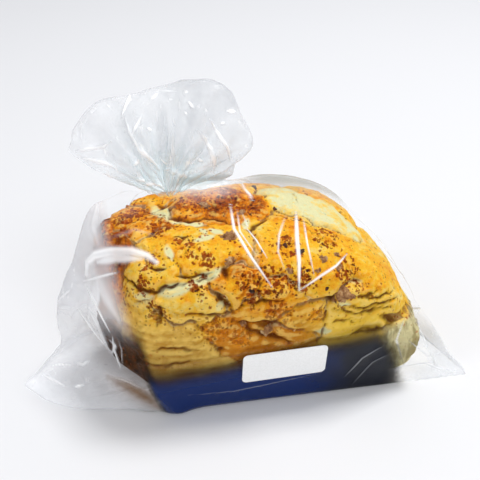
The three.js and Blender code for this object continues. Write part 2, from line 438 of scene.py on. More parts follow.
def laid_line(tree, points):
    """A path through points in mm, laid on the surface next to it."""
    return np.array([tree.find_nearest(Vector(point))[0] for point in spaced(points, LAID_STEP)])


def along(co, line):
    """Each point's distance from a line, and its place along it from 0 to 1."""
    run = np.diff(line, axis=0)
    steps = np.maximum(np.linalg.norm(run, axis=1), 1e-6)
    start = np.concatenate([[0], np.cumsum(steps)])
    best, place = np.full(len(co), 1e9), np.zeros(len(co))
    for i, step in enumerate(steps):
        close = np.where((np.abs(co - line[i]) < step + LINE_REACH).all(1))[0]
        here = co[close]
        t = np.clip((here - line[i]) @ run[i] / step, 0, step)
        gap = np.linalg.norm(here - line[i] - t[:, None] * run[i] / step, axis=1)
        closer = gap < best[close]
        best[close[closer]] = gap[closer]
        place[close[closer]] = (start[i] + t[closer]) / start[-1]
    return best, place


def profile(co, line, half_width):
    """1 along the line, falling to 0 beside it, and narrower towards its ends."""
    gap, place = along(co, line)
    taper = 0.35 + 0.65 * np.sin(np.pi * np.clip(place, 0.04, 0.96)) ** 0.5
    return np.exp(-((gap / (half_width * taper)) ** 2)) * taper


def without_spikes(co, edges, limit):
    """Points that stand out from their neighbours by more than the limit go back to them."""
    calm = neighbour_mean(co, edges, 6)
    spikes = np.linalg.norm(co - calm, axis=1) > limit
    return np.where(spikes[:, None], calm, co)


bag_points = [Vector(p / MM) for p in points_of(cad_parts["bag"])]
bag_skin = BVHTree.FromPolygons(bag_points, [f.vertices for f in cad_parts["bag"].data.polygons])


def inside_bag(co):
    """Points that reach the film are drawn back under it."""
    kept = co.copy()
    for i in np.where(np.linalg.norm(co[:, :2] - NECK[:2], axis=1) > NECK_CLEAR)[0]:
        point = co[i]
        wall, out, _, _ = bag_skin.find_nearest(Vector(point))
        if (Vector(point) - wall).dot(out) > -FILM_CLEARANCE:
            kept[i] = np.array(wall - out * FILM_CLEARANCE)
    return kept


def bridge_at(co):
    """1 where the film stands up off the loaf, right of the neck, and 0 elsewhere."""
    bridge = np.exp(-(((co[:, :2] - BRIDGE) / BRIDGE_REACH) ** 2).sum(1))
    return bridge * smoothstep(105, 120, co[:, 2]) * (1 - smoothstep(NECK[2], NECK[2] + 4, co[:, 2]))


def lean_left(co):
    """The left end leans out towards its front, from the floor up."""
    left = smoothstep(-20, -75, co[:, 0] - LOAF_MIDDLE) * smoothstep(-150, -110, co[:, 0] - LOAF_MIDDLE)
    up_the_edge = smoothstep(0, 34, co[:, 2]) * (1 - smoothstep(85, 125, co[:, 2]))
    leaning = co.copy()
    leaning[:, 0] -= LEFT_LEAN * left * up_the_edge * smoothstep(10, -30, co[:, 1])
    low = 1 - smoothstep(0, 55, co[:, 2])
    corner = np.exp(-(np.linalg.norm(co[:, :2] - FRONT_CORNER, axis=1) / CORNER_REACH) ** 2)
    leaning[:, :2] += np.outer(corner * low, CORNER_PULL)
    return leaning


def filled_out(body):
    """The body with its left end, crown and right foot pushed out into the bag."""
    low_end = smoothstep(0, 16, body[:, 2]) * (1 - smoothstep(60, 95, body[:, 2]))
    bulge = LEFT_LOBE * smoothstep(0, 60, body[:, 2]) + LEFT_FOOT * low_end
    bulge += LEFT_TOP * smoothstep(72, 100, body[:, 2])
    bulge *= smoothstep(-50, -90, body[:, 0] - LOAF_MIDDLE)
    body[:, 0] -= bulge * np.exp(-(((body[:, 1] - LEFT_END_MIDDLE) / LEFT_END_HALF) ** 6))
    dip = smoothstep(-10, 45, body[:, 1]) * smoothstep(30, 80, body[:, 0] - LOAF_MIDDLE)
    dip *= smoothstep(40, 90, body[:, 2])
    crown = smoothstep(60, 110, body[:, 2]) * smoothstep(-15, 15, body[:, 0])
    body[:, 2] += CROWN_LIFT * crown - BACK_DROP * dip
    right_foot = np.exp(-((np.linalg.norm(body[:, :2] - RIGHT_FOOT, axis=1) / FOOT_REACH) ** 2))
    right_foot *= smoothstep(4, 20, body[:, 2]) * (1 - smoothstep(50, 60, body[:, 2]))
    body[:, :2] += np.outer(right_foot, FOOT_PUSH)
    return body


def dough_balls(tree):
    """Each ball of dough: its centres in mm, its radius in mm and how browned it is."""
    seen = [
        (np.array([seen_on(tree, pixel) for pixel in pixels]), radius, brown)
        for pixels, radius, brown in SEEN_DOUGH.values()
    ]
    hidden = [
        (np.array(centres, float) + [LOAF_MIDDLE, 0, 0], radius, brown)
        for centres, radius, brown in HIDDEN_DOUGH.values()
    ]
    return seen + hidden


def reach_to(balls, co):
    """How far each point is from each ball, counted in that ball's radius."""
    from_balls = [
        np.min(np.linalg.norm(co[:, None, :] - centres[None], axis=2), axis=1) / radius
        for centres, radius, _ in balls
    ]
    return np.stack(from_balls, axis=1)


def crease_and_depth(co, tree):
    """How dark each point is made by the deep creases, and how deep it lies in them, in mm."""
    crease, depth_here = np.zeros(len(co)), np.zeros(len(co))
    for pixels, half_width, depth in DARK_CREASES:
        line = seen_line(tree, pixels)
        crease = np.maximum(crease, profile(co, line, CREASE_SHADE * half_width))
        dip = profile(co, line, CREASE_DIP[0] * half_width)
        depth_here = np.maximum(depth_here, CREASE_DIP[1] * depth * dip)
    return crease, depth_here


def paleness(co, tree):
    """1 where pale dough is torn open, falling to 0 beside it."""
    pale = np.zeros(len(co))
    for pixels, half_width in PALE_TEARS:
        pale = np.maximum(pale, profile(co, seen_line(tree, pixels), TEAR_REACH * half_width))
    return pale


def fleck_share(co, tree):
    """1 where the topping is flecked dark, falling to 0 round those places."""
    flecked = np.zeros(len(co))
    for pixel, radius in FLECKED:
        gap = np.linalg.norm(co - seen_on(tree, pixel), axis=1)
        flecked = np.maximum(flecked, 1 - smoothstep(FLECKED_FULL * radius, FLECKED_END * radius, gap))
    return flecked


edges = edges_of(loaf)
body = filled_out(points_of(loaf))
body = lean_left(without_spikes(inside_bag(body), edges, BODY_SPIKE))
body[:, 2] += BALL_LIFT * bridge_at(body)
set_points(loaf, body)
skin = surface_of(loaf)
wander = np.column_stack([noise_at(body, 17, seed) for seed in (3.1, 17.7, 41.3)])
wander += 0.5 * np.column_stack([noise_at(body, 6, seed) for seed in (5.2, 23.9, 57.1)])
balls = dough_balls(skin)
reach = reach_to(balls, body + BALL_WANDER * wander)
order = np.argsort(reach, axis=1)
rows = np.arange(len(body))
nearest, second = reach[rows, order[:, 0]], reach[rows, order[:, 1]]
apart = second - nearest
browning = np.array([brown for _, _, brown in balls])
share = np.exp(-((reach - nearest[:, None]) / BROWNING_BLEND))
ball_brown = (share * browning).sum(1) / share.sum(1)

normal = normals_of(loaf)
loaf_x = body[:, 0] - LOAF_MIDDLE
height = body[:, 2]
side = 1 - smoothstep(0.15, 0.75, normal[:, 2])
foot = 1 - smoothstep(25, 75, height)
open_crust = 1 - smoothstep(-0.4, -0.9, normal[:, 2])
ragged = body + CREASE_WANDER * np.column_stack([noise_at(body, 4.5, seed) for seed in (2.2, 12.4, 33.3)])
crease, crease_depth = crease_and_depth(ragged, skin)
pale = paleness(body + TEAR_WANDER * wander, skin)
open_here = smoothstep(-0.5, 0.3, noise_at(body, 19, 91.0))
seam = np.exp(-((apart / SEAM_WIDTH) ** 1.5)) * open_here
flecked = fleck_share(body, skin)
lumps = noise_at(body, 13, 71.0)
crags = np.abs(noise_at(body, 6.0, 11.0)) + 0.5 * np.abs(noise_at(body, 2.8, 29.0))
wrinkles = noise_at(body, 4.0, 47.0, stretch=(6.0, 6.0, 1.0))
wrinkles += 0.5 * noise_at(body, 8.0, 53.0, stretch=(4.0, 4.0, 1.0))
sink = LEAST_SINK + SEAM_DEPTH * seam * (1 - 0.8 * foot) + crease_depth
sink += PILLOW * np.clip(nearest, 0, 1.4) ** 2 * (1 - foot)
sink += LUMP_DEPTH * (lumps + 1) * (1 - 0.5 * foot)
sink += CRAG_DEPTH * (0.5 - crags) * (0.34 + 0.66 * flecked) * (1 - foot)
sink += WRINKLE_DEPTH * wrinkles * side
crust = body - normal * (np.maximum(sink, 0) * open_crust)[:, None]
crust = without_spikes(crust, edges, CRUST_SPIKE)
crust[:, 2] = np.maximum(crust[:, 2], FLOOR_GAP)
set_points(loaf, crust)

# How hollow each point lies; the finish paints shade in the hollows and highlight on the ridges from it
hollow = ((neighbour_mean(crust, edges, 12) - crust) * normals_of(loaf)).sum(1)
store(loaf, "seam", np.exp(-((apart / SEAM_COLOUR_WIDTH) ** 1.6)) * (1 - foot) * open_here)
store(loaf, "pale", pale)
store(loaf, "crease", crease)
store(loaf, "hollow", np.clip(hollow / 1.4, -1, 1) * 0.5 + 0.5)
store(loaf, "browning", ball_brown)
store(loaf, "flecked", flecked)
store(loaf, "side", side * smoothstep(100, 66, height / height_factor(loaf_x)))
# The left end's face, which the finish paints dark brown: dark-toasted crust with painted shade
left_face = smoothstep(0.5, 0.72, -normal[:, 0]) * (1 - smoothstep(56, 80, height + 6 * lumps))
store(loaf, "left_end", left_face * (1 - smoothstep(0, 40, body[:, 1] + 8 * lumps)))
low_right = smoothstep(64, 72, loaf_x + 3 * lumps) * (1 - smoothstep(53, 59, height + 3 * lumps))
store(loaf, "right_end", low_right * (1 - smoothstep(-40, 0, body[:, 1] + 10 * lumps)))
crust_tree = surface_of(loaf)
to_metres(loaf)

# Walnuts and dark fruit

BIT_WIDTH = 0.72  # of its length
BIT_SINK = 0.12  # how deep it is pressed in, of its length
FOLDED_LENGTH = 10.0  # the length, in mm, for which the sizes of its folds are given


def kernel(name, place, out, length, seed, ridge, squash):
    """One wrinkled bit of that length, pressed into the crust at a place, its flat side along the crust."""
    bpy.ops.mesh.primitive_ico_sphere_add(subdivisions=4, radius=0.5)
    bit = bpy.context.object
    bit.name = bit.data.name = name
    co = points_of(bit)
    grown = co * FOLDED_LENGTH
    folds = np.abs(noise_at(grown, 3.2, seed)) + 0.5 * np.abs(noise_at(grown, 1.5, seed + 7))
    lobes = noise_at(grown, 6.0, seed + 19)
    co *= (1 + ridge * (folds - 0.45) + 0.3 * lobes)[:, None]
    turn = Vector(out).to_track_quat("Z", "Y").to_matrix()
    spin = np.array([[math.cos(seed), -math.sin(seed), 0], [math.sin(seed), math.cos(seed), 0], [0, 0, 1]])
    co = (co * [length, length * BIT_WIDTH, length * squash]) @ spin.T @ np.array(turn).T
    set_points(bit, co + place - np.array(out) * length * BIT_SINK)
    return bit


def bits(name, places, ridge, squash):
    """All bits of one kind as a single piece."""
    made = []
    for i, (pixel, length) in enumerate(places):
        place, out, _, _ = crust_tree.ray_cast(eye, sight(pixel))
        made.append(kernel(name, np.array(place), out, length, 2.3 * i + 1.0, ridge, squash))
    select_only(made[0])
    for bit in made:
        bit.select_set(True)
    bpy.ops.object.join()
    made[0].name = made[0].data.name = name
    to_metres(made[0])
    return made[0]


walnuts = bits("walnuts", WALNUTS, ridge=0.8, squash=0.55)
fruit = bits("dark_fruit", DARK_FRUIT, ridge=0.25, squash=0.45)

# Film bag

WELD_REACH = 0.01
FILM_SUBDIVISIONS = 3
FACET_SMOOTHING = 14
GATHER_REACH = 34.0  # how far from the neck the film is still gathered
PLEATS = 13
PLEAT_DEPTH = 2.6
FILM_TRIANGLES = 92000
DETAIL_KEPT = 2.0  # how strongly plain film is thinned out before creases are
PLAIN_WHITE = 0.04  # film less white than this is plain
CREASE_HEIGHT = 0.7  # of the height that is given
SHOULDER_LIFT = 3.5  # how far the film stands off the loaf's far right shoulder
FILM_THICKNESS = 0.2

# Creases where the film is drawn tight and raised, and white along them: painted glint and the whitening of
# creased film. Along pixels of the frame: (pixels, half width in mm, height in mm, how white from 0 to 1)
CREASES = [
    ([(230, 203), (234, 229), (250, 256), (272, 287)], 1.1, 1.2, 0.9),
    ([(237, 210), (240, 232), (256, 255)], 0.8, 0.8, 0.6),
    ([(242, 184), (248, 193), (253, 202)], 1.3, 1.0, 0.7),
    ([(245, 227), (256, 240), (267, 258)], 0.7, 0.9, 0.75),
    ([(242, 212), (248, 228), (240, 231)], 0.7, 0.6, 0.5),
    ([(286, 215), (279, 235), (278, 252), (284, 268)], 1.0, 0.8, 0.55),
    ([(296, 212), (297, 240), (299, 262), (299, 290)], 1.4, 1.3, 1.0),
    ([(303, 217), (307, 243), (314, 275)], 0.8, 0.9, 0.7),
    ([(300, 290), (322, 275), (336, 266), (347, 254)], 0.9, 1.0, 0.9),
    ([(110, 238), (135, 230), (158, 236)], 2.2, 0.8, 0.25),
    ([(87, 274), (88, 262), (96, 255), (112, 252), (132, 252), (147, 256), (157, 263)], 3.4, 3.0, 1.0),
    ([(98, 262), (118, 258), (142, 259)], 3.2, 1.4, 0.9),
    ([(96, 212), (92, 228), (98, 244)], 9.0, 0.0, 0.3),
    ([(58, 304), (64, 296), (72, 289)], 0.9, 1.0, 0.6),
    ([(57, 307), (66, 307), (76, 307)], 0.8, 0.8, 0.5),
    ([(84, 281), (104, 276), (120, 272)], 1.0, 1.0, 0.7),
    ([(88, 288), (98, 308), (110, 331)], 1.2, 1.6, 1.0),
    ([(80, 310), (92, 328), (106, 346)], 1.3, 1.4, 0.8),
    ([(90, 312), (99, 328), (109, 350)], 4.5, 0.6, 0.5),
    ([(113, 336), (115, 350), (121, 368)], 1.4, 1.4, 0.8),
    ([(118, 338), (122, 350), (123, 366)], 0.8, 1.0, 0.5),
    ([(110, 340), (116, 345), (112, 354)], 1.6, 1.0, 0.7),
    ([(52, 367), (62, 365), (72, 365)], 1.1, 0.8, 0.7),
    ([(40, 372), (54, 381), (70, 390)], 1.0, 1.0, 0.7),
    ([(74, 387), (84, 385)], 1.3, 0.6, 0.7),
    ([(76, 362), (84, 365), (92, 360)], 2.0, 0.8, 0.5),
    ([(106, 374), (130, 382), (148, 391), (158, 400)], 1.0, 1.0, 0.35),
    ([(98, 205), (92, 226), (98, 246)], 1.6, 1.4, 0.3),
    ([(96, 272), (104, 294), (118, 318)], 7.0, 0.4, 0.45),
    ([(188, 395), (234, 391), (300, 377), (322, 372)], 0.6, 0.4, 0.45),
    ([(345, 376), (362, 358), (384, 345)], 0.8, 0.6, 0.5),
    ([(352, 384), (372, 362), (392, 352)], 0.7, 0.6, 0.4),
    ([(404, 318), (396, 340), (404, 366)], 1.4, 1.0, 0.5),
    ([(412, 312), (426, 345), (440, 372)], 1.0, 1.4, 0.5),
    ([(455, 372), (425, 362), (404, 366)], 1.1, 1.2, 0.5),
    ([(443, 352), (428, 356), (408, 340)], 0.9, 1.0, 0.45),
]
# The same on the loose film over the neck
MOUTH_CREASES = [
    ([(130, 96), (126, 106), (122, 117)], 1.2, 1.4, 1.0),
    ([(126, 119), (133, 134), (140, 148), (158, 168)], 1.4, 1.8, 0.7),
    ([(141, 117), (136, 128), (133, 140)], 1.0, 1.2, 0.7),
    ([(208, 119), (219, 135), (226, 147), (231, 160)], 1.1, 1.6, 0.9),
    ([(198, 130), (206, 141), (213, 150), (214, 172)], 1.7, 1.8, 0.7),
    ([(188, 102), (196, 110)], 1.3, 1.2, 0.8),
    ([(76, 151), (92, 148), (104, 146), (111, 141)], 1.3, 1.6, 0.8),
    ([(82, 157), (98, 161), (116, 165)], 1.5, 1.6, 1.0),
    ([(106, 171), (112, 175)], 1.6, 1.0, 0.9),
    ([(141, 157), (139, 161), (133, 164)], 1.3, 1.2, 0.9),
    ([(138, 177), (150, 180), (160, 184)], 1.1, 1.2, 0.9),
    ([(146, 129), (151, 130)], 1.3, 0.8, 0.9),
    ([(152, 101), (158, 95)], 1.2, 0.8, 0.9),
    ([(226, 112), (234, 112)], 1.6, 1.0, 1.0),
    ([(220, 123), (225, 124)], 1.1, 0.8, 0.9),
    ([(172, 128), (171, 145), (173, 162)], 1.0, 1.4, 0.5),
    ([(160, 155), (167, 163)], 1.0, 1.0, 0.7),
    ([(184, 112), (188, 115)], 1.0, 0.8, 0.8),
    ([(84, 126), (82, 142)], 1.4, 1.2, 0.4),
    ([(165, 168), (176, 172), (190, 176)], 2.2, 1.6, 0.45),
    ([(199, 159), (205, 160)], 1.4, 1.0, 0.7),
    ([(160, 92), (178, 92)], 1.0, 0.8, 0.5),
]

# The same where the camera doesn't look, through points in mm: down the back from the neck, round the right
# end, over the top and at the back of the left end
HIDDEN_CREASES = [
    ([(-40, 36, 126), (-30, 58, 100), (-24, 67, 60)], 1.0, 1.2, 0.55),
    ([(-46, 38, 124), (-50, 60, 96), (-58, 66, 50)], 0.9, 1.2, 0.5),
    ([(-34, 38, 126), (-12, 60, 104), (10, 67, 66)], 1.0, 1.2, 0.55),
    ([(-26, 36, 126), (20, 56, 112), (60, 66, 66)], 0.9, 1.0, 0.45),
    ([(-54, 36, 122), (-76, 54, 90), (-84, 60, 40)], 1.0, 1.2, 0.5),
    ([(-70, 66, 20), (-20, 67, 28), (30, 67, 18)], 0.9, 1.0, 0.45),
    ([(20, 67, 40), (70, 66, 26), (108, 58, 34)], 0.9, 1.0, 0.5),
    ([(60, 67, 60), (96, 62, 48), (116, 48, 56)], 0.8, 0.9, 0.45),
    ([(118, -30, 70), (124, 0, 58), (122, 36, 66)], 0.9, 1.0, 0.5),
    ([(112, -52, 50), (122, -20, 34), (124, 16, 40)], 1.0, 1.0, 0.5),
    ([(124, 40, 30), (124, 10, 16), (118, -30, 22)], 0.9, 1.0, 0.5),
    ([(96, 10, 112), (112, 14, 92), (122, 10, 60)], 0.9, 0.9, 0.5),
    ([(100, -20, 104), (114, -26, 84), (120, -34, 50)], 0.8, 0.9, 0.45),
    ([(-8, 40, 124), (40, 44, 118), (84, 40, 100)], 0.8, 0.9, 0.4),
    ([(-88, 30, 110), (-100, 30, 70), (-108, 24, 30)], 1.0, 1.2, 0.5),
    ([(-92, 46, 96), (-98, 48, 50), (-100, 40, 12)], 1.0, 1.2, 0.5),
]
# Where the dark end of the loaf shows clearly through the film, where its brown light is painted on the
# film's fold below, and the thick fold that runs from the neck over the top of the loaf: pixels of the frame,
# and half widths in them
DARK_VIEW = np.array([(112, 326), (126, 346), (138, 368), (148, 386)], float)
LOAF_LIT_FOLD = np.array([(108, 377), (130, 388), (148, 398), (166, 411)], float)
NECK_FOLD = np.array([(172, 184), (186, 180), (208, 179), (232, 176)], float)
DARK_VIEW_HALF, LOAF_LIT_FOLD_HALF, NECK_FOLD_HALF = 12, 8, 4.5

film = bpy.data.objects.new("film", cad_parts["bag"].data.copy())
film.data.name = "film"
film.data.materials.clear()
bpy.context.collection.objects.link(film)
set_points(film, points_of(film) / MM)
select_only(film)
bpy.ops.object.mode_set(mode="EDIT")
bpy.ops.mesh.select_all(action="SELECT")
bpy.ops.mesh.remove_doubles(threshold=WELD_REACH)
bpy.ops.mesh.tris_convert_to_quads(face_threshold=math.radians(60), shape_threshold=math.radians(70))
bpy.ops.object.mode_set(mode="OBJECT")
apply_modifier(
    film, "SUBSURF", subdivision_type="SIMPLE", levels=FILM_SUBDIVISIONS, render_levels=FILM_SUBDIVISIONS
)
co = lean_left(neighbour_mean(points_of(film), edges_of(film), FACET_SMOOTHING))
co[:, 2] += BRIDGE_LIFT * bridge_at(co)
shoulder = smoothstep(0, 30, co[:, 0]) * (1 - smoothstep(80, 100, co[:, 0]))
shoulder *= smoothstep(92, 108, co[:, 2]) * smoothstep(4, 30, co[:, 1])
co[:, 2] += SHOULDER_LIFT * shoulder
flap = smoothstep(-52, -75, co[:, 0]) * smoothstep(-165, -140, co[:, 0]) * (1 - smoothstep(0, 50, co[:, 2]))
co[:, 1] -= WING_FORWARD * flap * smoothstep(20, -20, co[:, 1])
set_points(film, co)


def crease_field(co, lines):
    """How high each point is raised by the creases, and how white their painted glint makes it."""
    raised, white = np.zeros(len(co)), np.zeros(len(co))
    for line, width, height_mm, shine in lines:
        ridge = profile(co, line, width)
        raised = np.maximum(raised, height_mm * ridge)
        white = np.maximum(white, shine * ridge)
    return raised, white


co, out = points_of(film), normals_of(film)
smooth_film = surface_of(film)
gap = np.array([crust_tree.find_nearest(Vector(p))[3] for p in co])
loose = smoothstep(8, 20, gap)
above = smoothstep(NECK[2] - 2, NECK[2] + 6, co[:, 2])
lines = [(seen_line(smooth_film, pixels), *rest) for pixels, *rest in CREASES + MOUTH_CREASES]
lines += [(laid_line(smooth_film, points), *rest) for points, *rest in HIDDEN_CREASES]
raised, white = crease_field(co, lines)
from_neck = co - NECK
gathered = above * np.exp(-((np.linalg.norm(from_neck, axis=1) / GATHER_REACH) ** 2))
around_neck = np.arctan2(from_neck[:, 2], from_neck[:, 0])
pleats = np.abs(np.sin(PLEATS * around_neck + 2.5 * noise_at(co, 22, 63.0)))
crumple = 1 - np.abs(noise_at(co, 24, 7.0)) * 2.2
crinkle = 1 - np.abs(noise_at(co, 9, 31.0)) * 2.2
off_floor = smoothstep(0.5, 5, co[:, 2])
lift = CREASE_HEIGHT * raised + PLEAT_DEPTH * gathered * pleats
lift += (0.25 + 1.5 * loose) * np.clip(crumple, 0, 1) + (0.05 + 0.2 * loose) * np.clip(crinkle, 0, 1)
co += out * (lift * off_floor)[:, None]
co[:, 2] = np.maximum(co[:, 2], 0)
set_points(film, co)
# Painted white glints along the creases, partly the whitening of creased film
store(film, "white", white)
store(film, "gathered", gathered * (0.35 + 0.65 * pleats))
on_frame = pixel_of(co)
store(film, "neck_fold", profile(on_frame, NECK_FOLD, NECK_FOLD_HALF) * smoothstep(100, 110, co[:, 2]))
store(film, "clearer", profile(on_frame, DARK_VIEW, DARK_VIEW_HALF))
store(film, "painted_loaf_light", profile(on_frame, LOAF_LIT_FOLD, LOAF_LIT_FOLD_HALF) * smoothstep(60, 40, co[:, 2]))
store(film, "loose", np.maximum(loose, above))
left_edge = co[:, 0] + 0.15 * (co[:, 2] - 70)
store(film, "mist", smoothstep(-76, -88, left_edge) * smoothstep(45, 75, co[:, 2]) * (1 - above))
store(film, "shoulder", shoulder * (1 - above))
plain = film.vertex_groups.new(name="plain_film")
plain.add(np.where(white < PLAIN_WHITE)[0].tolist(), 1.0, "REPLACE")
apply_modifier(
    film,
    "DECIMATE",
    ratio=FILM_TRIANGLES / (2 * len(film.data.polygons)),
    vertex_group="plain_film",
    vertex_group_factor=DETAIL_KEPT,
)
film.vertex_groups.clear()
apply_modifier(film, "SOLIDIFY", thickness=FILM_THICKNESS, offset=-1)
to_metres(film)

# Materials


class Finish:
    """A material whose pattern is worked out in the piece's own coordinates. Sizes are in millimetres."""

    def __init__(self, name):
        self.material = bpy.data.materials.new(name)
        self.material.use_nodes = True
        self.tree = self.material.node_tree
        self.shader = self.tree.nodes["Principled BSDF"]
        self.place = self.node("ShaderNodeTexCoord").outputs["Object"]

    def node(self, kind, inputs=None, **settings):
        made = self.tree.nodes.new(kind)
        for name, value in settings.items():
            setattr(made, name, value)
        for name, value in (inputs or {}).items():
            self.feed(made.inputs[name], value)
        return made

    def feed(self, socket, value):
        if isinstance(value, bpy.types.NodeSocket):
            self.tree.links.new(value, socket)
        else:
            socket.default_value = value

    def set(self, **values):
        for name, value in values.items():
            self.feed(self.shader.inputs[name.replace("_", " ")], value)

    def attribute(self, name):
        return self.node("ShaderNodeAttribute", attribute_name=name).outputs["Fac"]

    def placed(self, size, shift, stretch=(1, 1, 1)):
        """The piece's coordinates, scaled so that one unit is a feature of that size."""
        scale = [1 / (size * MM * s) for s in stretch]
        inputs = {"Vector": self.place, "Location": (shift,) * 3, "Scale": scale}
        return self.node("ShaderNodeMapping", inputs).outputs[0]

    def noise(self, size, detail=3.0, roughness=0.55, shift=0.0, stretch=(1, 1, 1)):
        place = self.placed(size, shift, stretch)
        inputs = {"Vector": place, "Scale": 1.0, "Detail": detail, "Roughness": roughness}
        return self.node("ShaderNodeTexNoise", inputs).outputs["Fac"]

    def spots(self, size, shift, density):
        """Ragged spots, one in a cell of about that size, as many and as large as the density from 0 to 1."""
        place = self.placed(size, shift)
        drift = self.node("ShaderNodeTexNoise", {"Vector": place, "Scale": 1.6, "Detail": 2.0})
        inputs = {0: drift.outputs["Color"], 1: (0.9,) * 3, 2: place}
        ragged = self.node("ShaderNodeVectorMath", inputs, operation="MULTIPLY_ADD")
        cells = self.node("ShaderNodeTexVoronoi", {"Vector": ragged.outputs[0], "Scale": 1.0})
        chance = self.node("ShaderNodeSeparateColor", {0: cells.outputs["Color"]})
        size_here = self.sum(density, (chance.outputs[0], -0.6))
        return self.step(self.sum(size_here, (cells.outputs["Distance"], -0.9)), -0.12, 0.06)

    def sum(self, *terms):
        """Adds terms, each a socket, a number or (socket, factor)."""
        total = 0.0
        for term in terms:
            socket, factor = term if isinstance(term, tuple) else (term, 1.0)
            total = self.node(
                "ShaderNodeMath", {0: socket, 1: factor, 2: total}, operation="MULTIPLY_ADD"
            ).outputs[0]
        return total

    def times(self, a, b):
        return self.node("ShaderNodeMath", {0: a, 1: b}, operation="MULTIPLY").outputs[0]

    def larger(self, a, b):
        return self.node("ShaderNodeMath", {0: a, 1: b}, operation="MAXIMUM").outputs[0]

    def step(self, value, low, high):
        """From 0 at low to 1 at high, smoothly."""
        inputs = {"Value": value, "From Min": low, "From Max": high}
        return self.node("ShaderNodeMapRange", inputs, interpolation_type="SMOOTHSTEP").outputs["Result"]

    def ramp(self, value, stops):
        made = self.node("ShaderNodeValToRGB", {"Fac": value})
        row = made.color_ramp.elements
        while len(row) < len(stops):
            row.new(0.5)
        for element, (place, colour) in zip(row, stops):
            element.position, element.color = place, (*colour, 1)
        return made.outputs["Color"]

    def mix(self, share, a, b):
        a, b = ((*c, 1) if isinstance(c, tuple) else c for c in (a, b))
        made = self.node("ShaderNodeMix", data_type="RGBA")
        for socket, value in zip((made.inputs[0], made.inputs[6], made.inputs[7]), (share, a, b)):
            self.feed(socket, value)
        return made.outputs[2]

    def bump(self, height_socket, depth):
        made = self.node("ShaderNodeBump", {"Height": height_socket, "Distance": depth * MM, "Strength": 1.0})
        self.set(Normal=made.outputs[0])

    def put_on(self, piece, slot):
        piece.data.materials.clear()
        piece.data.materials.append(self.material)
        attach(piece, "root")


def srgb(r, g, b):
    """A colour as seen, from 0 to 255, as Blender's linear one."""
    return tuple(c / 255 / 12.92 if c <= 10 else ((c / 255 + 0.055) / 1.055) ** 2.4 for c in (r, g, b))


CREAM = srgb(234, 230, 178)
STRAW = srgb(246, 216, 120)
YELLOW = srgb(249, 196, 52)
GOLD = srgb(247, 172, 34)
AMBER = srgb(224, 130, 18)
RUSSET = srgb(158, 76, 14)
CHAR = srgb(74, 28, 10)
TAN = srgb(246, 204, 100)
DARK_TAN_AND_SHADE = srgb(192, 130, 32)
SIDE_BROWN = srgb(204, 118, 8)
PAINTED_SIDE_LIGHT = srgb(255, 212, 66)
PAINTED_HOLLOW_SHADE = srgb(120, 58, 10)
PAINTED_RIDGE_HIGHLIGHT = srgb(255, 218, 116)
PAINTED_FOOT_SHADE = srgb(128, 94, 44)
CREASE_BROWN_AND_SHADE = srgb(84, 38, 8)
BURNT_AND_SHADED_END = (srgb(34, 15, 6), srgb(78, 42, 16))
CRUMB = (srgb(150, 142, 106), srgb(212, 206, 162))

# The crust's colours as it toasts
TOASTING = [
    (0.02, CREAM),
    (0.18, STRAW),
    (0.34, YELLOW),
    (0.52, GOLD),
    (0.7, AMBER),
    (0.88, RUSSET),
    (1.0, CHAR),
]
# Toasted flecks of several sizes: (size of a cell in mm, which random set, how thickly they lie, colour)
FLECKS = [
    (3.5, 33.0, 0.6, srgb(176, 84, 16)),
    (2.6, 71.0, 0.74, srgb(140, 56, 12)),
    (4.6, 87.0, 0.4, srgb(124, 52, 14)),
    (3.0, 55.0, 0.42, srgb(92, 34, 12)),
]


